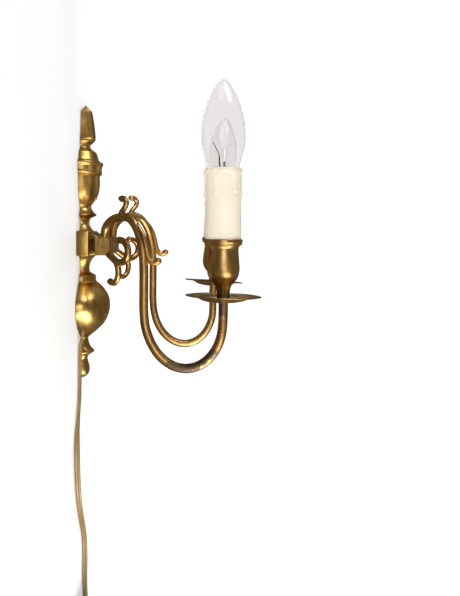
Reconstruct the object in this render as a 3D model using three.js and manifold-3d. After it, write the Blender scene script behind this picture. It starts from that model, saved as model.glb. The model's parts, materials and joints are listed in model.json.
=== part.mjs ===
// Two-arm wall sconce with electric candles and a plug-in cord.
// Millimetres, +Z up. The wall is the plane Y = 0, the sconce projects towards -Y, and the origin is on the
// flat back of the backplate's block. Helper functions take (x, out, z), out being the distance from the wall.
import * as THREE from 'three';
import { mergeVertices } from 'three/addons/utils/BufferGeometryUtils.js';
import Module from 'manifold-3d';

const wasm = await Module();
wasm.setup();

// ---------------------------------------------------------------- driving dimensions

const gap = 0.3;                 // clearance between touching pieces
const fit = 0.35;                // radial clearance of sliding pieces

// The backplate's section is a half round, narrowed at the finial and widened at the ball: [z, factor].
const plateWidths = [
  [140, 0.5], [100, 0.6], [90, 1.12], [-38, 1.12], [-57, 1.25], [-90, 1.12], [-140, 1.12],
];
const block = { halfWidth: 28, depth: 10.7, bottom: -10.9, top: 11.6 };
const neckHalfWidth = 24;
const bar = { halfLength: 37, back: 17.4, front: 30.5, bottom: -10.1, top: 6, chamfer: 2 };

const tubeRadius = 3.7;
const tubeBore = 2.6;
const wireRadius = 0.9;
const foot = { out: 25.3, x: 29.8 };
const leg = { out: 62.5, x: 70.4 };
const candle = { out: 126.5, x: 76 };

const stockRadius = 2.5;         // cast scroll work
const leafRadius = 2.3;

const panRadius = 30.6;
const panRim = -41;              // height of the drip pan's flange
const panSeat = panRim - 4.6;    // underside of the pan's bowl
const tubeTop = panSeat - gap;

const sleeveRadius = 14.3;
const sleeveBore = 13;
const sleeveBottom = 1.5;
const sleeveTop = 60.8;

const keyhole = { z: 52, headRadius: 3.2, slotRadius: 1.7, rise: 5 };
const hangerScrew = { spacing: 8, out: 0.4, headRadius: 2.6, headDepth: 1.5, radius: 1.2, length: 6, hole: 1.5 };
const hubBolt = { x: 12, z: 1.5, out: 0.5, headRadius: 4.1, headDepth: 3, radius: 1.9, length: 15, hole: 2.3 };
const wireHole = { z: -6.2, radius: 2.4 };
const terminal = { z: -55, out: 8.5, back: 16.7, halfWidth: 7.5, halfHeight: 6, screwSpacing: 3.8 };
const terminalScrew = { out: terminal.out - 1, headRadius: 1.6, headDepth: 1.6, radius: 1, length: 2 };

const cordHalfWidth = 2.5;       // the cord is a flat twin lead
const cordHalfThickness = 1.35;
const cordExit = { x: -15.1, out: 4.2, z: -77 };
const coil = { x: -35.5, z: -354, inner: 22, outer: 35, near: 1.5, far: 12.1, turn: 33.3, tailOut: 9.45 };
const plug = { z: -378, length: 34, halfWidth: 17.5, rearHalfWidth: 6.5, depth: 13 };
const plugPins = { radius: 2, length: 19, spacing: 18.6 };

// The arms are bent by hand: the right one arches higher, hangs lower and leans its candle forward. Angles
// are in degrees. The thin pans are bent too: panDip lowers the flange's front, panRoll raises its outer side.
const sides = [
  {
    name: 'left', sign: -1, archTop: 23, bendBottom: -99.8, leafScale: 1,
    lean: 0, panDip: 1.6, panRoll: 1.6,
  },
  {
    name: 'right', sign: 1, archTop: 27.4, bendBottom: -107.1, leafScale: 1.15,
    lean: 4, panDip: 0, panRoll: -3,
  },
];

// ---------------------------------------------------------------- materials

function finish(color, metalness, roughness) {
  return new THREE.MeshStandardMaterial({ color, metalness, roughness });
}

const agedBrass = finish(0xa8843c, 1, 0.35);
const brownBrass = finish(0x9a7038, 1, 0.4);
const thinBrass = finish(0xb08d4c, 1, 0.3);
const steel = finish(0x9b9b98, 1, 0.4);
const ivory = finish(0xf3ead0, 0, 0.45);
const glass = finish(0xe6e6ea, 0, 0.05);
const nickel = finish(0xc9c8c4, 1, 0.25);
const darkPlastic = finish(0x2b2622, 0, 0.5);
const goldCord = finish(0xb49a5e, 0, 0.45);

// ---------------------------------------------------------------- solids

function point(x, out, z) {
  return new THREE.Vector3(x, -out, z);
}

function volumeOf(geometry) {
  const position = geometry.attributes.position;
  const index = geometry.index.array;
  const [a, b, c] = [new THREE.Vector3(), new THREE.Vector3(), new THREE.Vector3()];
  let volume = 0;
  for (let i = 0; i < index.length; i += 3) {
    a.fromBufferAttribute(position, index[i]);
    b.fromBufferAttribute(position, index[i + 1]);
    c.fromBufferAttribute(position, index[i + 2]);
    volume += a.dot(b.cross(c)) / 6;
  }
  return volume;
}

// One closed body: shared vertices merged, collapsed triangles dropped, faces pointing out.
function closed(geometry) {
  geometry.deleteAttribute('normal');
  geometry.deleteAttribute('uv');
  const merged = mergeVertices(geometry);
  const all = merged.index.array;
  const kept = [];
  for (let i = 0; i < all.length; i += 3) {
    const [a, b, c] = [all[i], all[i + 1], all[i + 2]];
    if (a !== b && b !== c && c !== a) kept.push(a, b, c);
  }
  merged.setIndex(kept);
  if (volumeOf(merged) < 0) {
    for (let i = 0; i < kept.length; i += 3) {
      [kept[i], kept[i + 1]] = [kept[i + 1], kept[i]];
    }
    merged.setIndex(kept);
  }
  return merged;
}

function toManifold(geometry) {
  const vertProperties = new Float32Array(geometry.attributes.position.array);
  const triVerts = new Uint32Array(geometry.index.array);
  return new wasm.Manifold(new wasm.Mesh({ numProp: 3, vertProperties, triVerts }));
}

function toGeometry(manifold) {
  const mesh = manifold.getMesh();
  const geometry = new THREE.BufferGeometry();
  geometry.setAttribute('position', new THREE.BufferAttribute(new Float32Array(mesh.vertProperties), 3));
  geometry.setIndex(Array.from(mesh.triVerts));
  return geometry;
}

function join(...geometries) {
  return toGeometry(geometries.map(toManifold).reduce((whole, next) => whole.add(next)));
}

function cut(geometry, ...tools) {
  const whole = toManifold(geometry);
  return toGeometry(tools.map(toManifold).reduce((rest, tool) => rest.subtract(tool), whole));
}

function box(x0, x1, out0, out1, z0, z1) {
  const geometry = new THREE.BoxGeometry(x1 - x0, out1 - out0, z1 - z0);
  geometry.translate((x0 + x1) / 2, -(out0 + out1) / 2, (z0 + z1) / 2);
  return closed(geometry);
}

// A turned piece about a vertical axis. The profile is a list of [radius, z], closed or ending on the axis.
function turned(profile, segments) {
  const geometry = new THREE.LatheGeometry(profile.map(([r, z]) => new THREE.Vector2(r, z)), segments);
  geometry.rotateX(Math.PI / 2);
  return closed(geometry);
}

function ring(profile) {
  return [...profile, profile[0]];
}

// A round bar or disc along X, Y or Z through a centre.
function rod(axis, radius, length, centre, sidesCount = 12) {
  const geometry = new THREE.CylinderGeometry(radius, radius, length, sidesCount);
  if (axis === 'x') geometry.rotateZ(Math.PI / 2);
  if (axis === 'z') geometry.rotateX(Math.PI / 2);
  geometry.translate(centre.x, centre.y, centre.z);
  return closed(geometry);
}

function circlePoints(radius, count) {
  const points = [];
  for (let i = 0; i < count; i += 1) {
    const angle = (i / count) * 2 * Math.PI;
    points.push(new THREE.Vector2(radius * Math.cos(angle), radius * Math.sin(angle)));
  }
  return points;
}

// A round bar that follows a smooth curve through the points, hollow when a bore is given.
function bent(points, radius, steps, sidesCount = 8, bore = 0) {
  const shape = new THREE.Shape(circlePoints(radius, sidesCount));
  if (bore > 0) shape.holes.push(new THREE.Path(circlePoints(bore, 5).reverse()));
  const extrudePath = new THREE.CatmullRomCurve3(points, false, 'centripetal');
  return closed(new THREE.ExtrudeGeometry(shape, { extrudePath, steps, bevelEnabled: false }));
}

function hexNut(radius, bore, z0, z1) {
  const shape = new THREE.Shape(circlePoints(radius, 6));
  shape.holes.push(new THREE.Path(circlePoints(bore, 12).reverse()));
  const geometry = new THREE.ExtrudeGeometry(shape, { depth: z1 - z0, bevelEnabled: false });
  geometry.translate(0, 0, z0);
  return closed(geometry);
}

// A slotted screw pointing away from the wall, its head towards the wall.
function screw(x, z, { out, headRadius, headDepth, radius, length }) {
  const sunk = 0.1;
  const slotHalf = 0.4;
  const head = rod('y', headRadius, headDepth, point(x, out + headDepth / 2, z), 10);
  const shank = rod('y', radius, length, point(x, out + headDepth + length / 2 - sunk, z), 8);
  const slotEnd = out + headDepth / 3;
  const slot = box(x - headRadius, x + headRadius, out - 1, slotEnd, z - slotHalf, z + slotHalf);
  return cut(join(head, shank), slot);
}

const sconce = new THREE.Group();

function add(name, geometry, material, parent = sconce) {
  const mesh = new THREE.Mesh(geometry, material);
  mesh.name = name;
  parent.add(mesh);
}

// ---------------------------------------------------------------- backplate

// Each profile is a list of [depth, z] from the wall, top to bottom.
const finialProfile = [[0, 129.1], [3.4, 128.2], [9.4, 122.6], [12.6, 107], [12.9, 96.4], [8, 91.8]];
const urnProfile = [
  [9.4, 87.2], [13.2, 84.2], [16, 76.8], [19.9, 73.4], [18.6, 69.5], [18.9, 65.3],
  [16.2, 61.6], [16.1, 49], [13.6, 42], [9, 35.9],
];
const upperNeckProfile = [
  [8.6, 33.2], [10.4, 29.8], [13.7, 26.6], [8, 23.4], [6.8, 19.8], [7.8, 15.6], [9, 11.5], [9, -10.8],
];
const lowerNeckProfile = [
  [12.6, -11.8], [8.3, -17.4], [6.8, -23.6], [7.8, -27], [12.9, -29.6], [13.1, -34.7],
];
const ballProfile = [
  [20, -41.5], [24.6, -48.8], [26, -57], [24.9, -65.4], [20, -75], [12.9, -81.4], [5.8, -87.3],
];
const dropProfile = [
  [7.3, -94.6], [11.5, -100.2], [5.5, -104.6], [5.1, -107.5], [6.6, -112], [7.2, -117], [5.2, -122],
  [0, -124.4],
];
const urnHollow = [[0, 67], [12.6, 66], [12.6, 48], [9.6, 40.4], [0, 38.4]];
const ballHollow = [
  [0, -38], [9.6, -38.4], [17, -43], [21.3, -50], [22.6, -57], [21.4, -64.6], [16.6, -72.4], [9.6, -78.6],
  [0, -80],
];

function widthFactor(z) {
  const next = plateWidths.findIndex(([height]) => height <= z);
  const [z0, factor0] = plateWidths[next - 1];
  const [z1, factor1] = plateWidths[next];
  return factor0 + (factor1 - factor0) * (z0 - z) / (z0 - z1);
}

function halfRound(profile, segments) {
  const geometry = turned(profile, segments);
  const position = geometry.attributes.position;
  for (let i = 0; i < position.count; i += 1) {
    position.setX(i, position.getX(i) * widthFactor(position.getZ(i)));
  }
  return geometry;
}

function backplate() {
  const profile = [
    ...finialProfile, ...urnProfile, ...upperNeckProfile, ...lowerNeckProfile, ...ballProfile, ...dropProfile,
  ];
  const slab = box(-block.halfWidth, block.halfWidth, -5, block.depth, block.bottom, block.top);
  const behindWall = box(-80, 80, -60, 0, -140, 140);
  const casting = cut(join(halfRound(profile, 18), slab), behindWall);
  const boltHoles = [-1, 1].flatMap((sign) => [
    rod('y', hubBolt.hole, 40, point(sign * hubBolt.x, 10, hubBolt.z), 10),
    rod('y', hubBolt.headRadius + 0.5, 8, point(sign * hubBolt.x, 0, hubBolt.z), 12),
  ]);
  const hollow = cut(
    casting,
    halfRound(urnHollow, 12),
    halfRound(ballHollow, 12),
    box(-2.5, 2.5, -1, 5, -40, wireHole.z),
    rod('y', wireHole.radius, 40, point(0, 10, wireHole.z), 10),
    box(cordExit.x - 3.6, cordExit.x + 3.2, -1, 7.6, -90, -70),
    ...boltHoles,
  );
  const screwHeights = [keyhole.z - hangerScrew.spacing, keyhole.z + hangerScrew.spacing];
  const posts = screwHeights.map((z) => rod('y', 3, 10, point(0, 9, z), 10));
  const { halfHeight } = terminal;
  const terminalPost = box(-8, 8, terminal.back + gap, 24, terminal.z - halfHeight, terminal.z + halfHeight);
  const screwHoles = screwHeights.map((z) => rod('y', hangerScrew.hole, 8, point(0, 5, z), 8));
  return cut(join(hollow, ...posts, terminalPost), ...screwHoles);
}

function hangerStrap() {
  const strap = box(-7, 7, 2.2, 3.7, keyhole.z - 12, keyhole.z + 12);
  const slotTop = keyhole.z + keyhole.rise;
  return cut(
    strap,
    rod('y', keyhole.headRadius, 6, point(0, 3, keyhole.z), 12),
    rod('y', keyhole.slotRadius, 6, point(0, 3, slotTop), 10),
    box(-keyhole.slotRadius, keyhole.slotRadius, 1, 5, keyhole.z, slotTop),
    rod('y', hangerScrew.hole, 6, point(0, 3, keyhole.z - hangerScrew.spacing), 8),
    rod('y', hangerScrew.hole, 6, point(0, 3, keyhole.z + hangerScrew.spacing), 8),
  );
}

function terminalBlock() {
  const { z, out, back, halfWidth, halfHeight, screwSpacing } = terminal;
  const body = box(-halfWidth, halfWidth, out, back, z - halfHeight, z + halfHeight);
  const wells = [-1, 1].map((sign) => rod('y', 2, 8, point(sign * screwSpacing, out, z), 10));
  return cut(body, ...wells);
}

// ---------------------------------------------------------------- hub

// The bar that carries both arms, on a neck that flares back to the block.
function hub() {
  const { back, front, bottom, top, chamfer, halfLength } = bar;
  const outline = new THREE.Shape([
    new THREE.Vector2(back, bottom), new THREE.Vector2(front - chamfer, bottom),
    new THREE.Vector2(front, bottom + chamfer), new THREE.Vector2(front, top - chamfer),
    new THREE.Vector2(front - chamfer, top), new THREE.Vector2(back, top),
  ]);
  const length = new THREE.ExtrudeGeometry(outline, { depth: 2 * halfLength, bevelEnabled: false });
  length.rotateX(Math.PI / 2);
  length.rotateZ(-Math.PI / 2);
  length.translate(halfLength, 0, 0);
  const crossbar = closed(length);
  const flare = box(-neckHalfWidth, neckHalfWidth, block.depth + gap, back + 1, bottom, top);
  const position = flare.attributes.position;
  for (let i = 0; i < position.count; i += 1) {
    const atBlock = -position.getY(i) < back;
    if (!atBlock) continue;
    position.setX(i, position.getX(i) * (block.halfWidth - 1) / neckHalfWidth);
    position.setZ(i, position.getZ(i) > 0 ? block.top - 1 : block.bottom + 0.5);
  }
  const middle = (back + front) / 2;
  return cut(
    join(crossbar, flare),
    rod('x', 2.8, 2 * foot.x, point(0, middle, -3), 10),
    rod('y', wireHole.radius, middle - block.depth, point(0, (middle + block.depth) / 2, wireHole.z), 10),
    ...[-1, 1].map((sign) => rod('z', tubeRadius + fit, 12, point(sign * foot.x, foot.out, 3), 14)),
    ...[-1, 1].map((sign) => rod('y', hubBolt.hole, 14, point(sign * hubBolt.x, 14, hubBolt.z), 10)),
  );
}

// ---------------------------------------------------------------- arms and scroll work

// How far an arm stands from the centre line: out at an angle to its leg, then almost straight forward.
function spread(out) {
  const bend = leg.out;
  if (out < bend) return foot.x + (out - foot.out) * (leg.x - foot.x) / (bend - foot.out);
  return leg.x + (out - bend) * (candle.x - leg.x) / (candle.out - bend);
}

function along(side, route) {
  return route.map(([out, z]) => point(side.sign * spread(out), out, z));
}

// Points of a quarter ellipse about (out, z), from one angle to another in degrees.
function arc(out, z, halfOut, halfZ, from, to, count) {
  const points = [];
  for (let i = 0; i <= count; i += 1) {
    const angle = THREE.MathUtils.degToRad(from + (to - from) * i / count);
    points.push([out + halfOut * Math.cos(angle), z + halfZ * Math.sin(angle)]);
  }
  return points;
}

// A point on the arm's straight end, a distance below its top, in line with the candle.
function riserPoint(side, below) {
  const lean = THREE.MathUtils.degToRad(side.lean);
  return [candle.out - below * Math.sin(lean), tubeTop - below * Math.cos(lean)];
}

function armRoute(side) {
  const archOut = 42.4;
  const shoulderOut = 45;
  const archFoot = 8.6;
  const legTop = -19;
  const bottomOut = 96.1;
  const bendLeft = 46;
  const bendRight = 37;
  const riserOut = candle.out - 0.5;
  return [
    [foot.out, -0.6], [foot.out, 4],
    ...arc(archOut, archFoot, archOut - foot.out, side.archTop - archFoot, 180, 90, 4),
    ...arc(shoulderOut, legTop, leg.out - shoulderOut, side.archTop - legTop, 90, 0, 6),
    [leg.out, (legTop + side.bendBottom + bendLeft) / 2],
    ...arc(bottomOut, side.bendBottom + bendLeft, bottomOut - leg.out, bendLeft, 180, 270, 6),
    ...arc(bottomOut, side.bendBottom + bendRight, riserOut - bottomOut, bendRight, 270, 350, 6).slice(1),
    riserPoint(side, 8), riserPoint(side, 0),
  ];
}

function arm(side, radius, steps, sidesCount, bore) {
  return bent(along(side, armRoute(side)), radius, steps, sidesCount, bore);
}

function armWire(side) {
  const route = armRoute(side).slice(1, -1);
  return bent(along(side, route), wireRadius, 30, 4);
}

function scroll(side) {
  const strapAndRing = [
    [25.8, -5.8], [30, -9.2], [34.6, -13.2],
    ...arc(40.3, -6.2, 7.9, 9.6, 250, 470, 9),
  ];
  const tail = [[37, -15.6], [38.8, -21], [38.6, -28], [35.6, -33.2], [31.6, -33], [30.2, -30.4]];
  const casting = join(
    bent(along(side, strapAndRing), stockRadius, 17),
    bent(along(side, tail), stockRadius - 0.2, 7),
  );
  return cut(casting, hubKeepOut());
}

function hubKeepOut() {
  const { halfLength, back, front, bottom, top } = bar;
  return box(-halfLength - gap, halfLength + gap, back - 6, front + gap, bottom - gap, top + gap);
}

function armKeepOut(side) {
  return arm(side, tubeRadius + gap, 38, 8, 0);
}

function topLeaf(side) {
  const lift = side.archTop;
  const scale = side.leafScale;
  const route = [[0, 0], [2.9, 4.5], [3.6, 10.6], [1.4, 15], [-2, 15.6], [-3.2, 13.4]];
  const points = route.map(([out, z]) => [43.2 + out, lift + z * scale]);
  return cut(bent(along(side, points), leafRadius, 8), armKeepOut(side));
}

function sideLeaf(side) {
  const scale = side.leafScale;
  const lift = side.archTop - 23;
  const route = [[0, 0], [1.2, -6], [4, -12], [8, -15.4], [11.2, -14.4], [12.2, -10.8]];
  const points = route.map(([out, z]) => [leg.out + 0.6 + out * scale, -2 + lift + z * scale]);
  return cut(bent(along(side, points), leafRadius, 8), armKeepOut(side));
}

// ---------------------------------------------------------------- candles

const panProfile = ring([
  [4.3, panSeat], [12, panSeat], [17.6, panSeat + 1], [22.6, panRim - 0.8], [panRadius, panRim - 0.5],
  [panRadius, panRim + 0.3], [22.8, panRim], [18, panSeat + 2.1], [12, panSeat + 1.1], [4.3, panSeat + 1.1],
]);

const cupBase = panSeat + 1.1 + gap;
const cupProfile = ring([
  [4.3, cupBase], [5.6, cupBase], [5.2, -41], [5.3, -36.5], [6.2, -33.2], [9, -30.6], [11.3, -27.5],
  [12.9, -23], [13.1, -19.5], [12.7, -12], [12.3, -3], [12.8, -0.8], [15.1, 0.2], [15.5, 1], [15.5, 4],
  [15.1, 4.4], [14.6, 4.4], [14.6, 1.2], [10.7, 1], [10.7, -20], [9, -24.5], [4.3, -24.5],
]);

const nippleProfile = ring([
  [1.3, tubeTop - 6], [2, tubeTop - 6], [2, -45.4], [4, -45.4], [4, -12], [1.3, -12],
]);

const lampholderProfile = ring([
  [4.3, -20.2], [9.7, -20.2], [9.7, 1.9], [12.6, 1.9], [12.6, 51.5],
  [8.3, 51.5], [8.3, 27], [1.6, 27], [1.6, -11.4], [4.3, -11.4],
]);

const shellProfile = ring([[7.3, 31], [8, 31], [8, 51], [7.3, 51]]);
const holderContactProfile = [[0, 27.3], [3.4, 27.3], [3.4, 27.9], [0, 28.1]];

const sleeveProfile = ring([
  [sleeveBore, sleeveBottom], [sleeveRadius, sleeveBottom], [sleeveRadius, 40], [15.2, 43], [15.3, 59],
  [14.6, sleeveTop], [13.9, sleeveTop], [13.4, 56], [sleeveBore, 54],
]);

const bulbContactProfile = [[0, 28.5], [2.2, 28.6], [2.4, 30], [4.6, 31.4], [4.6, 32.2], [0, 32.2]];
const bulbCapProfile = ring([
  [0.9, 32.5], [5.2, 32.5], [6.95, 34.5], [6.95, 52.6], [6.4, 52.6], [6.4, 35.2], [0.9, 33.4],
]);
const bulbOutside = [
  [6, 48.5], [6, 53], [9.6, 55.4], [12, 58.4], [13.2, 62], [13.9, 67.4], [15.4, 72], [16.9, 78], [17.6, 85],
  [17.5, 92], [16.8, 99], [15, 107], [12.4, 115], [9.5, 121.5], [6.4, 127], [3.4, 131], [0, 132.7],
];
const bulbInside = [
  [0, 131.4], [5.4, 126.4], [11.6, 114.6], [16, 99], [16.7, 85], [13, 67.4], [12.2, 62], [9, 56.4], [5.2, 53],
];
const bulbProfile = ring([...bulbOutside, ...bulbInside, [5.2, 48.5]]);
const stemProfile = [[0, 49], [4.9, 49], [4.4, 55], [2.4, 62], [1.7, 72], [2.2, 76], [0, 77]];

function filament() {
  const spots = [
    [-4.6, 66], [-4.6, 80], [-5.2, 92], [-3, 98], [0, 94], [3, 98], [5.2, 92], [4.6, 80], [4.6, 66],
  ];
  return bent(spots.map(([step, z]) => point(0, step, z)), 0.5, 14, 4);
}

// The flange of a thin pan, bent by handling while its middle stays flat on the arm.
function dripPan(side, segments) {
  const geometry = turned(panProfile, segments);
  const dip = Math.tan(THREE.MathUtils.degToRad(side.panDip));
  const roll = Math.tan(THREE.MathUtils.degToRad(side.panRoll));
  const position = geometry.attributes.position;
  for (let i = 0; i < position.count; i += 1) {
    const [x, y] = [position.getX(i), position.getY(i)];
    const share = Math.max(0, (Math.hypot(x, y) - 12) / (panRadius - 12));
    position.setZ(i, position.getZ(i) + share * (y * dip + side.sign * x * roll));
  }
  return geometry;
}

// Everything above the arm stands in one group, modelled about its own axis and leaned about the arm's top.
function addCandle(side) {
  const stand = new THREE.Group();
  stand.position.copy(point(side.sign * candle.x, candle.out, tubeTop));
  stand.rotation.x = THREE.MathUtils.degToRad(side.lean);
  sconce.add(stand);
  const put = (name, geometry, material) => {
    geometry.translate(0, 0, -tubeTop);
    add(`${name}_${side.name}`, geometry, material, stand);
  };
  put('drip_pan', dripPan(side, 22), thinBrass);
  put('candle_cup', turned(cupProfile, 16), agedBrass);
  put('nipple', turned(nippleProfile, 12), steel);
  put('cup_nut', hexNut(6.4, 4.4, -24.2, -20.6), steel);
  put('lampholder', turned(lampholderProfile, 12), darkPlastic);
  put('screw_shell', turned(shellProfile, 12), nickel);
  put('centre_contact', turned(holderContactProfile, 10), nickel);
  put('candle_sleeve', turned(sleeveProfile, 20), ivory);
  put('bulb_contact', turned(bulbContactProfile, 12), darkPlastic);
  put('bulb_cap', turned(bulbCapProfile, 12), nickel);
  put('bulb_glass', turned(bulbProfile, 16), glass);
  put('bulb_stem', turned(stemProfile, 10), glass);
  put('filament', filament(), steel);
}

// ---------------------------------------------------------------- cord

const bushTop = { x: -10, z: -60 };

// Hangs from the bush, swings across the wall and runs down to the coil: [x, out, z].
const cordRoute = [
  [-15.1, 4.2, -77.3], [-16.6, 3.4, -82.2], [-17.8, 2.4, -88], [-18.5, 1.8, -96], [-18.8, 1.6, -106],
  [-18.7, 1.6, -118], [-20.5, 1.6, -135.6], [-26, 1.7, -150], [-32.5, 1.9, -162.3], [-36.5, 2.2, -173],
  [-37.8, 2.4, -183], [-36.8, 2.5, -197], [-33.2, 2.6, -215.5], [-26, 2.6, -234], [-15, 2.6, -252],
  [-5.5, 2.6, -266.5], [-0.5, 2.6, -279], [1.2, 2.6, -293], [-0.4, 2.7, -309], [-2, 3.2, -324],
  [-2.2, 3.9, -336.6],
];

function flatLead(points, steps) {
  const section = circlePoints(1, 8).map(
    (corner) => new THREE.Vector2(corner.x * cordHalfThickness, corner.y * cordHalfWidth),
  );
  const shape = new THREE.Shape(section);
  const extrudePath = new THREE.CatmullRomCurve3(points, false, 'centripetal');
  return closed(new THREE.ExtrudeGeometry(shape, { extrudePath, steps, bevelEnabled: false }));
}

function cordBush() {
  const mouth = point(cordExit.x, cordExit.out, cordExit.z + gap);
  const root = point(bushTop.x, cordExit.out, bushTop.z);
  const length = mouth.distanceTo(root);
  const geometry = new THREE.CylinderGeometry(3.6, 2.9, length, 12);
  geometry.rotateX(Math.PI / 2);
  const lean = new THREE.Quaternion().setFromUnitVectors(
    new THREE.Vector3(0, 0, 1), root.clone().sub(mouth).normalize(),
  );
  geometry.applyQuaternion(lean);
  geometry.translate((mouth.x + root.x) / 2, mouth.y, (mouth.z + root.z) / 2);
  return closed(geometry);
}

function cordCoil() {
  const { inner, outer, near, far } = coil;
  const section = ring([[inner, -far], [outer, -far], [outer, -near], [inner, -near]]);
  const geometry = new THREE.LatheGeometry(section.map(([r, y]) => new THREE.Vector2(r, y)), 28);
  geometry.translate(coil.x, 0, coil.z);
  return closed(geometry);
}

function cordTie() {
  const bottom = coil.z - coil.outer - 1.2;
  const top = coil.z - coil.inner + 1.9;
  const band = box(coil.x - 4, coil.x + 4, 0.3, coil.far + 1.2, bottom, top);
  const inside = box(coil.x - 5, coil.x + 5, coil.near - 0.4, coil.far + 0.4, bottom + 0.8, top - 0.8);
  return cut(band, inside);
}

function cordTail() {
  const heights = [-371.3, -374.5, plug.z + gap];
  return flatLead(heights.map((z) => point(coil.x + coil.turn, coil.tailOut, z)), 3);
}

function plugBody() {
  const { halfWidth, rearHalfWidth, length, depth } = plug;
  const outline = new THREE.Shape([
    new THREE.Vector2(-rearHalfWidth, 0), new THREE.Vector2(-rearHalfWidth - 1, -8),
    new THREE.Vector2(-halfWidth, -20), new THREE.Vector2(-halfWidth, -length),
    new THREE.Vector2(halfWidth, -length), new THREE.Vector2(halfWidth, -20),
    new THREE.Vector2(rearHalfWidth + 1, -8), new THREE.Vector2(rearHalfWidth, 0),
  ]);
  const geometry = new THREE.ExtrudeGeometry(outline, { depth, bevelEnabled: false });
  geometry.rotateX(Math.PI / 2);
  geometry.translate(coil.x + coil.turn, -coil.tailOut + depth / 2, plug.z);
  return closed(geometry);
}

function plugPin(sign) {
  const { radius, length, spacing } = plugPins;
  const top = plug.z - plug.length - gap;
  const centre = point(coil.x + coil.turn + sign * spacing / 2, coil.tailOut, top - length / 2);
  return rod('z', radius, length, centre, 10);
}

// ---------------------------------------------------------------- assembly

add('backplate', backplate(), agedBrass);
add('hanger_strap', hangerStrap(), steel);
for (const [end, sign] of [['lower', -1], ['upper', 1]]) {
  add(`hanger_screw_${end}`, screw(0, keyhole.z + sign * hangerScrew.spacing, hangerScrew), steel);
}
add('terminal_block', terminalBlock(), ivory);
add('hub', hub(), agedBrass);
for (const side of sides) {
  const clampScrew = screw(side.sign * terminal.screwSpacing, terminal.z, terminalScrew);
  add(`terminal_screw_${side.name}`, clampScrew, agedBrass);
  add(`hub_bolt_${side.name}`, screw(side.sign * hubBolt.x, hubBolt.z, hubBolt), steel);
  add(`arm_${side.name}`, arm(side, tubeRadius, 38, 8, tubeBore), brownBrass);
  add(`arm_wire_${side.name}`, armWire(side), darkPlastic);
  add(`scroll_${side.name}`, scroll(side), brownBrass);
  add(`top_leaf_${side.name}`, topLeaf(side), brownBrass);
  add(`side_leaf_${side.name}`, sideLeaf(side), brownBrass);
  addCandle(side);
}
add('cord_bush', cordBush(), darkPlastic);
add('cord_lead', flatLead(cordRoute.map(([x, out, z]) => point(x, out, z)), 40), goldCord);
add('cord_coil', cordCoil(), goldCord);
add('cord_tie', cordTie(), darkPlastic);
add('cord_tail', cordTail(), goldCord);
add('plug_body', plugBody(), darkPlastic);
add('plug_pin_left', plugPin(-1), nickel);
add('plug_pin_right', plugPin(1), nickel);

export default sconce;
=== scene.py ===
"""Looks for the two-arm brass wall sconce.

The frame is in metres with +Z up. The wall is the plane Y = 0 and the sconce projects to -Y.
Shapes are written in millimetres, and MM scales them when a mesh is made.
"""
import json
import math

import bmesh
import bpy
from mathutils import Matrix, Vector


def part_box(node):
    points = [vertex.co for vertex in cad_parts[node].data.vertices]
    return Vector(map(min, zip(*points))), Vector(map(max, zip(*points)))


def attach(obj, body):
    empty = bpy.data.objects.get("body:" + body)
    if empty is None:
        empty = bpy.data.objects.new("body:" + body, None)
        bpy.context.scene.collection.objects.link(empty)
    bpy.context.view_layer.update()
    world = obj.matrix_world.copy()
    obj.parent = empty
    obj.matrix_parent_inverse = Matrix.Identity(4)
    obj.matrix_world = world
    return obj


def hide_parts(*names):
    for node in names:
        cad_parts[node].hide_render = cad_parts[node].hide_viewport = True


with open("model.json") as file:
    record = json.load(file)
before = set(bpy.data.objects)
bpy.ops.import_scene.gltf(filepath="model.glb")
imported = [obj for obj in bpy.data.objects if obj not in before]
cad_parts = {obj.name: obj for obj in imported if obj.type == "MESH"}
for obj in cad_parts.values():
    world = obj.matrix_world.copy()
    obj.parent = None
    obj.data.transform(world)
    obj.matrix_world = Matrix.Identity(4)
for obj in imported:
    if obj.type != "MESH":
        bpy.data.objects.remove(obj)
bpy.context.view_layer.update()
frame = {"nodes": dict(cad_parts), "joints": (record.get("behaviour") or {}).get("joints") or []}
scene = bpy.context.scene
MM = 0.001

# ---------------------------------------------------------------- camera

camera_data = bpy.data.cameras.new("camera")
camera = bpy.data.objects.new("camera", camera_data)
scene.collection.objects.link(camera)
scene.camera = camera
camera.location = (-0.540, -0.0945, 0.00774)
camera.rotation_euler = (math.radians(90), 0, math.radians(-90))
camera_data.sensor_width = 36
camera_data.lens = 34.98
camera_data.shift_x = 0.0784
camera_data.shift_y = -0.1057
camera_data.clip_start = 0.01
camera_data.clip_end = 50

# ---------------------------------------------------------------- curves and meshes


def ease(t):
    """0 to 1 with a soft start and end, for t from 0 to 1."""
    t = min(max(t, 0), 1)
    return t * t * (3 - 2 * t)


def smooth(points, step):
    """Evenly spaced points, about step apart, on a Catmull-Rom curve through the given points."""
    per_span = 24
    pts = [Vector(p) for p in points]
    pts = [2 * pts[0] - pts[1], *pts, 2 * pts[-1] - pts[-2]]
    dense = []
    for p0, p1, p2, p3 in zip(pts, pts[1:], pts[2:], pts[3:]):
        t1 = (p1 - p0).length ** 0.5
        t2 = t1 + (p2 - p1).length ** 0.5
        t3 = t2 + (p3 - p2).length ** 0.5
        for i in range(per_span):
            t = t1 + (t2 - t1) * i / per_span
            a1 = p0 * ((t1 - t) / t1) + p1 * (t / t1)
            a2 = p1 * ((t2 - t) / (t2 - t1)) + p2 * ((t - t1) / (t2 - t1))
            a3 = p2 * ((t3 - t) / (t3 - t2)) + p3 * ((t - t2) / (t3 - t2))
            b1 = a1 * ((t2 - t) / t2) + a2 * (t / t2)
            b2 = a2 * ((t3 - t) / (t3 - t1)) + a3 * ((t - t1) / (t3 - t1))
            dense.append(b1 * ((t2 - t) / (t2 - t1)) + b2 * ((t - t1) / (t2 - t1)))
    dense.append(pts[-2])
    return resample(dense, step)


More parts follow.
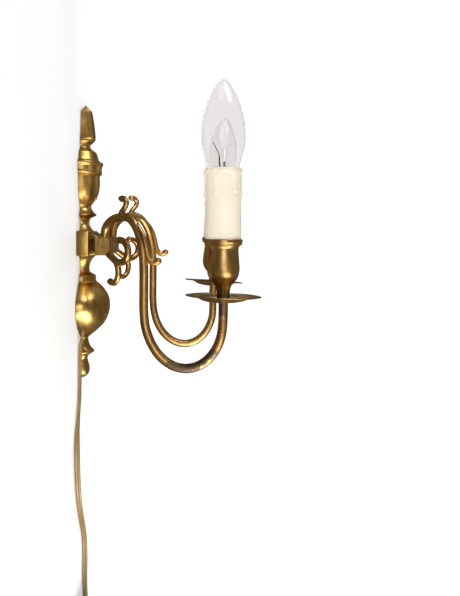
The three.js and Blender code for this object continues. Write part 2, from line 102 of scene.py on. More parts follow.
def curve(points, step=0.8):
    """A smooth line through (radius, z) points."""
    return [tuple(p) for p in smooth(points, step)]


def resample(points, step):
    """The polyline cut into equal lengths of about step."""
    lengths = [0.0]
    for a, b in zip(points, points[1:]):
        lengths.append(lengths[-1] + (b - a).length)
    count = max(2, round(lengths[-1] / step))
    result = []
    k = 0
    for i in range(count + 1):
        target = lengths[-1] * i / count
        while k < len(points) - 2 and lengths[k + 1] < target:
            k += 1
        span = max(lengths[k + 1] - lengths[k], 1e-12)
        result.append(points[k].lerp(points[k + 1], min(1, max(0, (target - lengths[k]) / span))))
    return result


def rounded(points, radius):
    """The polyline with its corners rounded off."""
    steps = 3
    pts = [Vector(p) for p in points]
    result = [pts[0]]
    for a, b, c in zip(pts, pts[1:], pts[2:]):
        before, after = a - b, c - b
        cut = min(radius, 0.45 * before.length, 0.45 * after.length)
        start = b + before.normalized() * cut
        end = b + after.normalized() * cut
        for i in range(steps + 1):
            t = i / steps
            result.append(start * (1 - t) ** 2 + b * (2 * t * (1 - t)) + end * t ** 2)
    return [*result, pts[-1]]


def ring_of(profile):
    return [*profile, profile[0]]


def clean_mesh(name, vertices, faces):
    """A mesh from millimetres, with doubles merged and its normals outward."""
    mesh = bpy.data.meshes.new(name)
    mesh.from_pydata([Vector(v) * MM for v in vertices], [], faces)
    bm = bmesh.new()
    bm.from_mesh(mesh)
    bmesh.ops.remove_doubles(bm, verts=bm.verts, dist=1e-7)
    bmesh.ops.dissolve_degenerate(bm, dist=1e-8, edges=bm.edges)
    bmesh.ops.recalc_face_normals(bm, faces=bm.faces)
    bm.to_mesh(mesh)
    bm.free()
    return mesh


def piece(name, parts, material, body, replaced=(), matrix=None, sharp=35):
    """One object made of several (vertices, faces), placed by the matrix."""
    vertices, faces = [], []
    for part_vertices, part_faces in parts:
        faces += [[i + len(vertices) for i in face] for face in part_faces]
        vertices += part_vertices
    mesh = clean_mesh(name, vertices, faces)
    if matrix is not None:
        mesh.transform(matrix)
    return finish_piece(name, mesh, material, body, replaced, sharp)


def finish_piece(name, mesh, material, body, replaced, sharp=35):
    """Shades the mesh, hangs it on the empty of the body that carries it, and hides the CAD nodes
    it replaces.
    """
    mesh.shade_smooth()
    mesh.set_sharp_from_angle(angle=math.radians(sharp))
    mesh.materials.clear()
    mesh.materials.append(material)
    obj = bpy.data.objects.new(name, mesh)
    scene.collection.objects.link(obj)
    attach(obj, body)
    if replaced:
        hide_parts(*replaced)
    return obj


def turned(profile, segments, start=0.0, turn=2 * math.pi, widen=None):
    """A turned body from a profile of (radius, z). A half turn has a flat back, and widen(z) is its
    width for a given radius."""
    whole = abs(turn - 2 * math.pi) < 1e-6
    columns = segments if whole else segments + 1
    vertices = []
    for r, z in profile:
        for i in range(columns):
            angle = start + turn * i / segments
            factor = widen(z) if widen else 1
            vertices.append((r * math.cos(angle) * factor, r * math.sin(angle), z))
    faces = []
    rows = len(profile)
    for j in range(rows - 1):
        for i in range(segments):
            k = (i + 1) % columns
            faces.append([j * columns + i, j * columns + k, (j + 1) * columns + k,
                          (j + 1) * columns + i])
        if not whole:
            faces.append([j * columns, (j + 1) * columns, (j + 1) * columns + segments,
                          j * columns + segments])
    return vertices, faces


def loft(sections):
    """A closed body through rings that have the same number of points."""
    n = len(sections[0])
    vertices = [p for section in sections for p in section]
    faces = [[j * n + i, j * n + (i + 1) % n, (j + 1) * n + (i + 1) % n, (j + 1) * n + i]
             for j in range(len(sections) - 1) for i in range(n)]
    first, last = list(range(n))[::-1], [(len(sections) - 1) * n + i for i in range(n)]
    return vertices, [*faces, first, last]


def sweep(path, section, across=None, scale=None):
    """A section of (side, up) points swept along a dense path; across gives the side direction."""
    sections = []
    side = None
    for i, p in enumerate(path):
        share = i / (len(path) - 1)
        ahead = path[min(i + 1, len(path) - 1)] - path[max(i - 1, 0)]
        tangent = ahead.normalized()
        if across:
            side = Vector(across(p))
        elif side is None:
            side = tangent.orthogonal()
        side = (side - tangent * side.dot(tangent)).normalized()
        up = tangent.cross(side)
        size = scale(share) if scale else 1
        sections.append([p + side * (a * size) + up * (b * size) for a, b in section])
    return loft(sections)


def circle(radius, count):
    angles = [2 * math.pi * i / count for i in range(count)]
    return [(radius * math.cos(a), radius * math.sin(a)) for a in angles]


def bar(points, radius, step=0.5, sides=20, blunt_start=False, thick=None):
    """A round bar along a smooth curve. Blunt ends are domed, and thick(t) varies its radius."""
    path = smooth(points, step)
    length = step * (len(path) - 1)
    half = radius * 1.1
    thinnest = 0.04

    def scale(t):
        size = thick(t) if thick else 1
        for distance in ((1 - t) * length, t * length if blunt_start else half):
            if distance < half:
                size *= max(thinnest, math.sqrt(1 - (1 - distance / half) ** 2))
        return size

    return sweep(path, circle(radius, sides), scale=scale)


def rounded_rectangle(half_a, half_b, corner, steps=5):
    """An outline with arcs at its four corners."""
    points = []
    for quarter, (sa, sb) in enumerate(((1, 1), (-1, 1), (-1, -1), (1, -1))):
        for i in range(steps + 1):
            angle = math.radians(90 * quarter + 90 * i / steps)
            points.append((sa * (half_a - corner) + corner * math.cos(angle),
                           sb * (half_b - corner) + corner * math.sin(angle)))
    return points


def bevelled_box(x0, x1, out0, out1, z0, z1, bevel):
    """A box with rounded edges. The out values are distances from the wall."""
    bm = bmesh.new()
    bmesh.ops.create_cube(bm, size=1)
    for v in bm.verts:
        v.co = ((x0 + x1) / 2 + v.co.x * (x1 - x0), -(out0 + out1) / 2 + v.co.y * (out1 - out0),
                (z0 + z1) / 2 + v.co.z * (z1 - z0))
    bmesh.ops.bevel(bm, geom=bm.edges, offset=bevel, segments=3, profile=0.5, affect="EDGES")
    bm.verts.index_update()
    result = [tuple(v.co) for v in bm.verts], [[v.index for v in f.verts] for f in bm.faces]
    bm.free()
    return result


# ---------------------------------------------------------------- materials


class Nodes:
    """A short way to write a node material."""

    def __init__(self, name):
        self.material = bpy.data.materials.new(name)
        self.material.use_nodes = True
        self.tree = self.material.node_tree
        self.shader = self.tree.nodes["Principled BSDF"]
        self.place = self.tree.nodes.new("ShaderNodeTexCoord").outputs["Object"]

    def new(self, kind, inputs=(), **settings):
        node = self.tree.nodes.new(kind)
        for key, value in settings.items():
            setattr(node, key, value)
        for key, value in dict(inputs).items():
            if isinstance(value, bpy.types.NodeSocket):
                self.tree.links.new(value, node.inputs[key])
            else:
                node.inputs[key].default_value = value
        return node

    def map_range(self, value, start, end, low, high):
        return self.new("ShaderNodeMapRange", {"Value": value, "From Min": start, "From Max": end,
                                               "To Min": low, "To Max": high}).outputs[0]

    def arithmetic(self, operation, a, b):
        return self.new("ShaderNodeMath", {0: a, 1: b}, operation=operation).outputs[0]

    def noise(self, scale, detail=4, roughness=0.55, stretch=(1, 1, 1), distortion=0.0):
        mapping = self.new("ShaderNodeMapping", {"Vector": self.place, "Scale": stretch})
        noise = self.new("ShaderNodeTexNoise", {"Vector": mapping.outputs[0], "Scale": scale,
                                                "Detail": detail, "Roughness": roughness,
                                                "Distortion": distortion})
        return noise.outputs["Fac"]

    def ramp(self, value, *stops):
        node = self.new("ShaderNodeValToRGB", {"Fac": value})
        ramp = node.color_ramp
        while len(ramp.elements) < len(stops):
            ramp.elements.new(0.5)
        for element, (position, color) in zip(ramp.elements, stops):
            element.position = position
            element.color = (*color, 1) if hasattr(color, "__len__") else (color, color, color, 1)
        return node.outputs["Color"]

    def mix(self, factor, a, b):
        node = self.new("ShaderNodeMix", data_type="RGBA")
        for key, value in ((0, factor), (6, a), (7, b)):
            if isinstance(value, bpy.types.NodeSocket):
                self.tree.links.new(value, node.inputs[key])
            else:
                node.inputs[key].default_value = (*value, 1) if hasattr(value, "__len__") else value
        return node.outputs[2]

    def bump(self, value, strength, distance):
        node = self.new("ShaderNodeBump", {"Height": value, "Strength": strength,
                                           "Distance": distance})
        self.tree.links.new(node.outputs[0], self.shader.inputs["Normal"])

    def shade(self, **inputs):
        for key, value in inputs.items():
            socket = self.shader.inputs[key.replace("_", " ")]
            if isinstance(value, bpy.types.NodeSocket):
                self.tree.links.new(value, socket)
            else:
                socket.default_value = value
        return self.material


def brass(name, bright, mid, dark, patina=(0.48, 0.66), rough=(0.15, 0.30), patches=(), shaded_below=None):
    """Aged brass: worn areas, brown tarnish and fine specks. There can be grey oxide patches at
    (x, y, z, radius), and painted shade that darkens it towards the bottom, from one height up to
    another."""
    n = Nodes(name)
    clouds = n.noise(38, 6, 0.62, distortion=0.4)
    specks = n.noise(420, 3, 0.6)
    streaks = n.noise(150, 4, 0.6, (1, 1, 0.25))
    color = n.mix(n.ramp(clouds, (0.36, 0), (0.6, 1)), bright, mid)
    color = n.mix(n.ramp(streaks, (patina[0], 0), (patina[1], 0.75)), color, dark)
    color = n.mix(n.ramp(specks, (0.64, 0), (0.76, 0.6)), color, tuple(c * 0.55 for c in dark))
    roughness = n.ramp(clouds, (0.3, rough[0]), (0.7, rough[1]))
    if patches:
        oxide, brown, dull = (0.135, 0.108, 0.095), (0.30, 0.19, 0.08), (0.5, 0.5, 0.5)
        ragged = n.noise(330, 6, 0.75, (1, 1, 1.6), 0.8)
        cover = None
        for x, y, z, radius in patches:
            away = n.new("ShaderNodeVectorMath", {0: n.place, 1: (x, y, z)}, operation="DISTANCE")
            near = n.arithmetic("DIVIDE", away.outputs["Value"], radius)
            spot = n.map_range(n.arithmetic("ADD", near, ragged), 1.38, 1.60, 1.0, 0.0)
            cover = spot if cover is None else n.arithmetic("MAXIMUM", cover, spot)
        crust = n.mix(n.ramp(n.noise(700, 4, 0.7), (0.42, 0), (0.66, 1)), oxide, brown)
        color = n.mix(cover, color, crust)
        roughness = n.mix(cover, roughness, dull)
    if shaded_below:
        # Painted shade: the colour darkens towards the bottom, from one height up to another, so
        # the cup's foot above the pan looks shaded.
        height = n.new("ShaderNodeSeparateXYZ", {"Vector": n.place}).outputs["Z"]
        color = n.mix(n.map_range(height, *shaded_below, 0.85, 0.0), color, (0.085, 0.060, 0.038))
    n.bump(n.mix(0.35, n.noise(900, 3, 0.6), clouds), 0.06, 0.0004)
    return n.shade(Base_Color=color, Metallic=1.0, Roughness=roughness)


def plain(name, color, other, metallic=0.0, rough=(0.35, 0.5), scale=120, bump=0.12):
    """A uniform material with gentle cloudiness and a fine surface."""
    n = Nodes(name)
    value = n.noise(scale, 5, 0.6)
    n.bump(n.noise(scale * 7, 3, 0.6), bump, 0.0002)
    clouded = n.mix(n.ramp(value, (0.35, 0), (0.68, 1)), color, other)
    roughness = n.ramp(value, (0.3, rough[0]), (0.7, rough[1]))
    return n.shade(Base_Color=clouded, Metallic=metallic, Roughness=roughness)


# Oxide on the left arm, as (x, y, z, radius) in metres.
ARM_PATCHES = [
    (-0.0765, -0.0838, -0.0968, 0.0042), (-0.077, -0.0885, -0.0992, 0.0048),
    (-0.077, -0.094, -0.0998, 0.0052), (-0.077, -0.0995, -0.0992, 0.0050),
    (-0.077, -0.1045, -0.0972, 0.0042), (-0.077, -0.1102, -0.0930, 0.0040),
    (-0.077, -0.1155, -0.0882, 0.0042), (-0.077, -0.1195, -0.0855, 0.0030),
    (-0.0785, -0.1244, -0.0490, 0.0042), (-0.0785, -0.1252, -0.0530, 0.0036),
    (-0.0785, -0.1285, -0.0560, 0.0022),
]
cast_brass = brass("cast_brass", (0.72, 0.49, 0.165), (0.58, 0.365, 0.10), (0.29, 0.16, 0.048),
                   rough=(0.26, 0.40))
hub_brass = brass("hub_brass", (0.58, 0.38, 0.125), (0.44, 0.27, 0.08), (0.20, 0.11, 0.04),
                  patina=(0.42, 0.6), rough=(0.22, 0.38))
arm_brass = brass("arm_brass", (0.66, 0.42, 0.15), (0.53, 0.315, 0.105), (0.28, 0.145, 0.06),
                  rough=(0.3, 0.42), patches=ARM_PATCHES)
pan_brass = brass("pan_brass", (0.50, 0.33, 0.12), (0.34, 0.21, 0.07), (0.13, 0.075, 0.035),
                  rough=(0.25, 0.45))
# The cup's lower part gets painted shade, darker towards its foot above the pan.
cup_brass = brass("cup_brass", (0.78, 0.53, 0.20), (0.65, 0.42, 0.148), (0.34, 0.195, 0.078),
                  rough=(0.25, 0.38), shaded_below=(-0.040, -0.029))
finial_brass = brass("finial_brass", (0.49, 0.315, 0.103), (0.38, 0.23, 0.065), (0.20, 0.11, 0.035),
                     rough=(0.3, 0.42))
steel = plain("steel", (0.46, 0.46, 0.45), (0.30, 0.29, 0.28), 1.0, (0.3, 0.5), 200)
nickel = plain("nickel", (0.70, 0.69, 0.66), (0.55, 0.54, 0.50), 1.0, (0.16, 0.3), 90, 0.05)
dark_plastic = plain("dark_plastic", (0.020, 0.016, 0.013), (0.035, 0.028, 0.022), 0, (0.4, 0.55),
                     300)
terminal_plastic = plain("terminal_plastic", (0.72, 0.69, 0.62), (0.62, 0.58, 0.50), 0, (0.4, 0.5),
                         250)
wire_plastic = plain("wire_plastic", (0.10, 0.06, 0.03), (0.16, 0.10, 0.05), 0, (0.35, 0.5), 300)
lead_wire = plain("lead_wire", (0.14, 0.10, 0.08), (0.05, 0.035, 0.03), 1.0, (0.35, 0.5), 900)
tungsten = plain("tungsten", (0.42, 0.33, 0.28), (0.32, 0.25, 0.21), 0.2, (0.4, 0.55), 700)
plug_plastic = plain("plug_plastic", (0.38, 0.25, 0.09), (0.31, 0.20, 0.07), 0, (0.28, 0.4), 160,
                     0.08)


def make_ivory():
    """Moulded plastic wax that lets a little light through."""
    n = Nodes("ivory")
    clouds = n.noise(55, 4, 0.5)
    color = n.mix(n.ramp(clouds, (0.35, 0), (0.7, 1)), (0.78, 0.70, 0.595), (0.76, 0.675, 0.56))
    n.bump(n.noise(260, 3, 0.5), 0.06, 0.0003)
    return n.shade(Base_Color=color, Roughness=n.ramp(clouds, (0.3, 0.30), (0.7, 0.40)),
                   Subsurface_Weight=0.35, Subsurface_Radius=(0.0045, 0.0032, 0.0018),
                   Subsurface_Scale=1.0)


def make_glass(name, tint, other):
    n = Nodes(name)
    clouds = n.noise(30, 3, 0.5)
    color = n.mix(n.ramp(clouds, (0.3, 0), (0.7, 1)), tint, other)
    return n.shade(Base_Color=color, Transmission_Weight=1.0, IOR=1.3,
                   Roughness=n.ramp(clouds, (0.3, 0.01), (0.8, 0.03)))


def make_cord():
    """Soft gold-brown plastic with a slight gloss."""
    n = Nodes("gold_cord")
    clouds = n.noise(90, 4, 0.6, (1, 1, 0.3))
    color = n.mix(n.ramp(clouds, (0.35, 0), (0.65, 1)), (0.31, 0.205, 0.078), (0.22, 0.145, 0.052))
    n.bump(n.noise(500, 3, 0.6, (1, 1, 0.2)), 0.1, 0.0002)
    return n.shade(Base_Color=color, Roughness=n.ramp(clouds, (0.3, 0.26), (0.7, 0.38)),
                   Coat_Weight=0.3, Coat_Roughness=0.15, Subsurface_Weight=0.2,
                   Subsurface_Radius=(0.002, 0.0014, 0.0006))


ivory = make_ivory()
# The left bulb's glass is slightly smoky.
clear_glass = {"left": make_glass("smoky_glass", (0.90, 0.88, 0.884), (0.88, 0.864, 0.868)),
               "right": make_glass("clear_glass", (0.962, 0.952, 0.952), (0.95, 0.941, 0.941))}
stem_glass = make_glass("stem_glass", (0.93, 0.90, 0.88), (0.88, 0.85, 0.82))
gold_cord = make_cord()

# ---------------------------------------------------------------- cord and plug

# The coil winds inward in a first layer, crosses over, and winds outward in a second layer. The
# layers are distances from the wall, and crossing and outward are counted in turns.
COIL = {"x": -35.5, "z": -354, "inner": 23.5, "outer": 33.3, "first": 4.15, "second": 9.45,
        "turns": 7, "crossing": 3.4, "outward": 3.65}
COIL_STEPS = 36
# Points of the hanging stretch, as (x, distance from the wall, z).
LEAD = [
    (-15.1, 4.2, -77.3), (-16.6, 3.4, -82.2), (-17.8, 2.4, -88), (-18.5, 1.8, -96),
    (-18.8, 1.6, -106), (-18.7, 1.6, -118), (-20.5, 1.6, -135.6), (-26, 1.7, -150),
    (-32.5, 1.9, -162.3), (-36.5, 2.2, -173), (-37.8, 2.4, -183), (-36.8, 2.5, -197),
    (-33.2, 2.6, -215.5), (-26, 2.6, -234), (-15, 2.6, -252), (-5.5, 2.6, -266.5),
    (-0.5, 2.6, -279), (1.2, 2.6, -293), (-0.4, 2.7, -309), (-2, 3.2, -324), (-2.2, 3.9, -336.6),
    (-2.2, 4.15, -345),
]


def cord_points():
    """The cord's route from the bush, down the wall, round the coil and on to the plug."""
    points = [Vector((x, -out, z)) for x, out, z in LEAD]
    turns, crossing, outward = COIL["turns"], COIL["crossing"], COIL["outward"]
    for i in range(turns * COIL_STEPS + 1):
        turn = i / COIL_STEPS
        wound = min(turn / crossing, 1) - max((turn - outward) / (turns - outward), 0)
        radius = COIL["outer"] - (COIL["outer"] - COIL["inner"]) * wound
        layer = ease((turn - crossing) / (outward - crossing))
        out = COIL["first"] + (COIL["second"] - COIL["first"]) * layer
        angle = -2 * math.pi * turn
        points.append(Vector((COIL["x"] + radius * math.cos(angle), -out,
                              COIL["z"] + radius * math.sin(angle))))
    tail_x = COIL["x"] + COIL["outer"]
    points += [Vector((tail_x, -COIL["second"], z)) for z in (-362, -370, -377.6)]
    return points


def twin_section():
    """Two round conductors side by side, joined by a web, 5 mm by 2.6 mm."""
    offset, radius, steps = 1.18, 1.32, 12
    points = []
    for centre, first in ((offset, -140), (-offset, 40)):
        for i in range(steps + 1):
            angle = math.radians(first + 280 * i / steps)
            points.append((centre + radius * math.cos(angle), radius * math.sin(angle)))
    return points


def make_cord_piece():
    path = smooth(cord_points(), 1.1)
    twist_top, twist_height = -150, 45

    def across(p):
        angle = math.radians(90) * ease((twist_top - p.z) / twist_height)
        return math.cos(angle), -math.sin(angle), 0

    cord = piece("cord", [sweep(path, twin_section(), across)], gold_cord, "sconce",
                 ["cord_lead", "cord_coil", "cord_tail"], sharp=60)
    return cord, [p * MM for p in path]


def make_bush():
    """A tapered bush with a groove at every third step."""
    root, mouth, steps = Vector((-10, -4.2, -60)), Vector((-15.1, -4.2, -77)), 16
    path = [root.lerp(mouth, i / steps) for i in range(steps + 1)]
    ribs = [1.0 - 0.17 * i / steps - (0.07 if i % 3 == 2 else 0) for i in range(steps + 1)]
    body = sweep(path, circle(3.5, 20), scale=lambda t: ribs[round(t * steps)])
    return piece("strain_relief", [body], dark_plastic, "sconce", ["cord_bush"])


def make_tie():
    """A flat strap wound twice round the bottom of the coil."""
    half_thick, half_wide, apart, corner = 0.45, 1.9, 2.1, 2.2
    low, high = (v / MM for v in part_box("cord_tie"))
    centre = (low + high) / 2
    half_out = (high.y - low.y) / 2 - 0.5
    half_z = (high.z - low.z) / 2 - 0.5
    parts = []
    for shift in (-apart, apart):
        outline = rounded_rectangle(half_out, half_z, corner, 6)
        path = [Vector((centre.x + shift, centre.y + a, centre.z + b)) for a, b in outline]
        vertices = []
        for p in path:
            inward = (Vector((p.x, centre.y, centre.z)) - p).normalized() * half_thick
            for dx in (-half_wide, half_wide):
                vertices += [p + inward + Vector((dx, 0, 0)), p - inward + Vector((dx, 0, 0))]
        faces = []
        count = len(path)
        for i in range(count):
            a, b = 4 * i, 4 * ((i + 1) % count)
            faces += [[a + j, b + j, b + k, a + k] for j, k in ((0, 1), (1, 3), (3, 2), (2, 0))]
        parts.append((vertices, faces))
    return piece("tie", parts, dark_plastic, "sconce", ["cord_tie"])


def make_plug():
    """A flat two-pin plug that widens to its face, with three grip ridges on its front."""
    low, high = (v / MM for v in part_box("plug_body"))
    x, y = (low.x + high.x) / 2, (low.y + high.y) / 2
    top, depth = high.z, (high.y - low.y) / 2
    wide = (high.x - low.x) / 2
    shape = [(0, 5.4, 4.6), (0.6, 6.1, 5.3), (7, 7, 5.6), (9, 7.9, 5.9), (14, 12.4, 6.3),
             (19, wide - 0.9, depth), (22, wide, depth), (31.5, wide, depth),
             (33.4, wide - 0.5, depth - 0.5), (34, wide - 1.4, depth - 1.4)]
    sections = []
    for down, half_x, half_y in shape:
        outline = rounded_rectangle(half_x, half_y, min(half_x, half_y) * 0.72)
        sections.append([(x + a, y + b, top - down) for a, b in outline])
    front = depth - y
    grips = [bevelled_box(x - wide + 3, x + wide - 3, front - 0.2, front + 0.45, z, z + 1.2, 0.25)
             for z in (top - 29, top - 26, top - 23)]
    return piece("plug", [loft(sections), *grips], plug_plastic, "sconce",
                 ["plug_body"])


def make_pin(side):
    low, high = (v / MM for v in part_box(f"plug_pin_{side}"))
    x, y = (low.x + high.x) / 2, (low.y + high.y) / 2
    tip, root = low.z, high.z
    profile = [(0, tip), (1.2, tip), (1.8, tip + 0.5), (2, tip + 1.3), (2, root), (0, root)]
    matrix = Matrix.Translation(Vector((x, y, 0)) * MM)
    return piece(f"plug_pin_{side}_round", [turned(profile, 20)], nickel, "sconce",
                 [f"plug_pin_{side}"], matrix)


cord, cord_path = make_cord_piece()
cord_pieces = [make_plug(), make_pin("left"), make_pin("right"), make_tie(), make_bush()]

# ---------------------------------------------------------------- backplate and hub

# How much wider than deep the baluster is, as (height, factor) from the top down.
WIDTHS = [(140, 0.5), (100, 0.6), (90, 1.12), (-38, 1.12), (-57, 1.25), (-90, 1.12), (-140, 1.12)]


def width_factor(z):
    for (z0, f0), (z1, f1) in zip(WIDTHS, WIDTHS[1:]):
        if z >= z1:
            return f0 + (f1 - f0) * ease((z0 - z) / (z0 - z1))
    return WIDTHS[-1][1]


def backplate_profile():
    """Radius and height, top to bottom, from under the finial."""
    crisp = 0.45
    return [
        *rounded([(0, 98.2), (11.6, 98.2), (12.7, 97.6), (12.8, 96.0), (11.6, 94.6), (8.6, 92.2)],
                 crisp)[:-1],
        *curve([(8.3, 92), (7.7, 89.6), (9.3, 87.2)]),
        *rounded([(9.4, 87.2), (13.0, 84.6), (13.6, 84), (16, 76.8), (17.2, 76)], crisp)[1:],
        *rounded([(17.3, 75.9), (19.6, 74.6), (19.9, 73.4), (19.5, 72.2), (18.6, 71.2),
                  (18.4, 67.2), (18.9, 65.3), (18.4, 64.1), (16.6, 62.6)], crisp)[1:-1],
        *curve([(16.3, 62), (16.7, 57), (16.2, 50), (14.9, 45), (12.8, 40.8), (9.6, 36.4),
                (8.7, 34.6), (8.7, 32.8), (9.8, 30.6), (11.8, 28.4), (13.5, 26.9)]),
        *rounded([(13.8, 26.5), (13.2, 25.7), (8.3, 23.6)], crisp),
        *curve([(8, 23.2), (6.9, 20.6), (6.9, 18), (7.9, 15.4), (10, 12.6), (11.5, 11.4)]),
        (11.6, 11), (11.6, -10),
        *curve([(12.6, -11.6), (9.6, -14.6), (7.5, -19), (6.8, -23), (7.6, -26.6)]),
        *rounded([(7.8, -27), (12.2, -29.2), (12.9, -30), (13.1, -34.3), (13.6, -35.2)],
                 crisp)[1:-1],
        *curve([(13.6, -35.4), (17.2, -38.2), (20.6, -42), (23.6, -46.6), (25.4, -51.5), (26, -57),
                (25.4, -63.4), (23.4, -69.4), (19.6, -75.4), (13.8, -80.8), (7, -86.2)]),
        *curve([(6.2, -86.8), (5.9, -88), (6.0, -90), (6.6, -92.6), (7.7, -95.3), (9.4, -97.7),
                (11.2, -99.4)]),
        *rounded([(11.6, -99.8), (11.5, -100.7), (9.4, -101.9), (7.2, -103), (5.7, -104.6)],
                 crisp)[:-1],
        *curve([(5.6, -105), (5.2, -107.2), (6.0, -110.4), (7.1, -115), (7, -119), (5.2, -122.2),
                (2.6, -124), (0, -124.4)]),
    ]


def finial():
    """A faceted obelisk whose pyramid top comes to a point in front of the wall."""
    apex = 3.4
    rings = [(0.0, 128.9), (9.6, 122.4), (11.4, 112), (12.7, 102), (12.9, 97.6)]
    sides = 6
    columns = sides + 1
    vertices = []
    for radius, z in rings:
        for i in range(columns):
            angle = -math.pi * i / sides
            y = radius * math.sin(angle) if radius else -apex
            vertices.append((radius * width_factor(z) * math.cos(angle), y, z))
    faces = []
    for j in range(len(rings) - 1):
        first, below = columns * j, columns * (j + 1)
        for i in range(sides):
            faces.append([first + i, first + i + 1, below + i + 1, below + i])
        faces.append([first, below, below + sides, first + sides])
    faces.append([columns * (len(rings) - 1) + i for i in range(columns)])
    return vertices, faces


def closed_object(name, vertices, faces):
    obj = bpy.data.objects.new(name, clean_mesh(name, vertices, faces))
    scene.collection.objects.link(obj)
    return obj


def hollowed(body, cutters):
    """The body's mesh with the cutters' space taken out."""
    for cutter in cutters:
        modifier = body.modifiers.new("cut", "BOOLEAN")
        modifier.operation = "DIFFERENCE"
        modifier.solver = "EXACT"
        modifier.object = cutter
    depsgraph = bpy.context.evaluated_depsgraph_get()
    mesh = bpy.data.meshes.new_from_object(body.evaluated_get(depsgraph))
    for obj in (body, *cutters):
        bpy.data.objects.remove(obj)
    return mesh


def make_backplate():
    """The casting, hollow behind the urn and the ball, with a groove for the wires between them."""
    segments, hollow_segments = 48, 40
    body = closed_object("casting", *turned(backplate_profile(), segments, -math.pi, math.pi,
                                            width_factor))
    hollows = [
        curve([(0.01, 67), (9, 66.6), (12.4, 62), (12.6, 54), (11.6, 45), (7, 39.6), (0.01, 38.4)],
              1.2),
        curve([(0.01, -38), (9.6, -38.6), (17, -43.4), (21.3, -50), (22.4, -57), (21.2, -64.6),
               (16.6, -72.2), (9.6, -78.4), (0.01, -80)], 1.2),
    ]
    cutters = [closed_object(f"hollow_{i}", *turned(profile, hollow_segments, widen=width_factor))
               for i, profile in enumerate(hollows)]
    channel = closed_object("channel", *bevelled_box(-2.5, 2.5, -1, 5, -40, -6.2, 0.3))
    mesh = hollowed(body, [*cutters, channel])
    finish_piece("backplate_cast", mesh, cast_brass, "sconce", ["backplate"], 32)
    block = bevelled_box(-28, 28, 0.02, 10.7, -10.9, 11.6, 0.7)
    strap_posts = [bevelled_box(-3, 3, 3.9, 14, z - 3, z + 3, 0.6) for z in (44, 60)]
    terminal_stand = bevelled_box(-8, 8, 17, 24, -61, -49, 0.5)
    piece("backplate_block", [block, *strap_posts, terminal_stand], cast_brass, "sconce",
          ["backplate"], sharp=30)
    piece("backplate_finial", [finial()], finial_brass, "sconce", ["backplate"],
          sharp=20)


def make_hub():
    """The bar that carries the arms, flaring back to the block, with soft cast edges."""
    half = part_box("hub")[1].x / MM
    middle_out, middle_z = 23.9, -2
    profile = [(17.4, -10.1), (28.5, -10.1), (30.5, -8.1), (30.5, 4), (28.5, 6), (17.4, 6)]
    ring = rounded([*profile, profile[0], profile[1]], 0.9)[1:-1]
    bar_sections = []
    for x, shrink in ((-half, 0.94), (-half + 0.5, 0.985), (-half + 1.2, 1), (half - 1.2, 1),
                      (half - 0.5, 0.985), (half, 0.94)):
        bar_sections.append([(x, -(middle_out + (out - middle_out) * shrink),
                              middle_z + (z - middle_z) * shrink) for out, z in ring])
    flare = []
    for out, half_x, bottom, top in ((11, 27, -10.4, 10.6), (12.2, 26.2, -10.3, 9.9),
                                     (14.5, 25, -10.2, 8.2), (18.5, 24, -10.1, 6.2),
                                     (22, 24, -10, 5.9)):
        outline = rounded_rectangle(half_x, (top - bottom) / 2, 0.9, 3)
        flare.append([(a, -out, (bottom + top) / 2 + b) for a, b in outline])
    piece("hub_cast", [loft(bar_sections), loft(flare)], hub_brass, "sconce", ["hub"],
          sharp=38)


make_backplate()
make_hub()

# ---------------------------------------------------------------- arms and scroll work

# An arm's route is (distance from the wall, z). It spreads sideways as it leaves the wall, through
# these (distance from the wall, x).
FOOT, LEG, CANDLE = (25.3, 29.8), (62.5, 70.4), (126.5, 76)
TUBE_TOP = -45.9
# The two sides are slightly uneven: the heights of arch and bend, the size of the leaves, and the
# degrees by which the candle leans forward and the pan is tilted.
SIDES = [
    {"name": "left", "sign": -1, "arch": 23, "bend": -99.8, "leaf": 1.0, "lean": 0, "dip": 1.6,
     "roll": 1.6},
    {"name": "right", "sign": 1, "arch": 27.4, "bend": -107.1, "leaf": 1.15, "lean": 4, "dip": 0,
     "roll": -3},
]


def spread(out):
    (out0, x0), (out1, x1) = (FOOT, LEG) if out < LEG[0] else (LEG, CANDLE)
    return x0 + (out - out0) * (x1 - x0) / (out1 - out0)


def along(side, route):
    return [(side["sign"] * spread(out), -out, z) for out, z in route]


def arc(out, z, half_out, half_z, start, end, count):
    angles = [math.radians(start + (end - start) * i / count) for i in range(count + 1)]
    return [(out + half_out * math.cos(a), z + half_z * math.sin(a)) for a in angles]


def arm_route(side):
    """Up from the hub, over the arch, down the leg, round the bend and up to the pan."""
    lean = math.radians(side["lean"])
    top, bend = side["arch"], side["bend"]
    last = 8
    return [
        (FOOT[0], -0.6), (FOOT[0], 4),
        *arc(42.4, 8.6, 17.1, top - 8.6, 180, 90, 4),
        *arc(45, -19, 17.5, top + 19, 90, 0, 6),
        (LEG[0], (-19 + bend + 46) / 2),
        *arc(96.1, bend + 46, 33.6, 46, 180, 270, 6),
        *arc(96.1, bend + 37, 29.9, 37, 270, 350, 6)[1:],
        (CANDLE[0] - last * math.sin(lean), TUBE_TOP - last * math.cos(lean)),
        (CANDLE[0], TUBE_TOP),
    ]


def arm_piece(cad_name, suffix, side, parts):
    name = side["name"]
    piece(f"{cad_name}_{suffix}_{name}", parts, arm_brass, "sconce",
          [f"{cad_name}_{name}"], sharp=50)


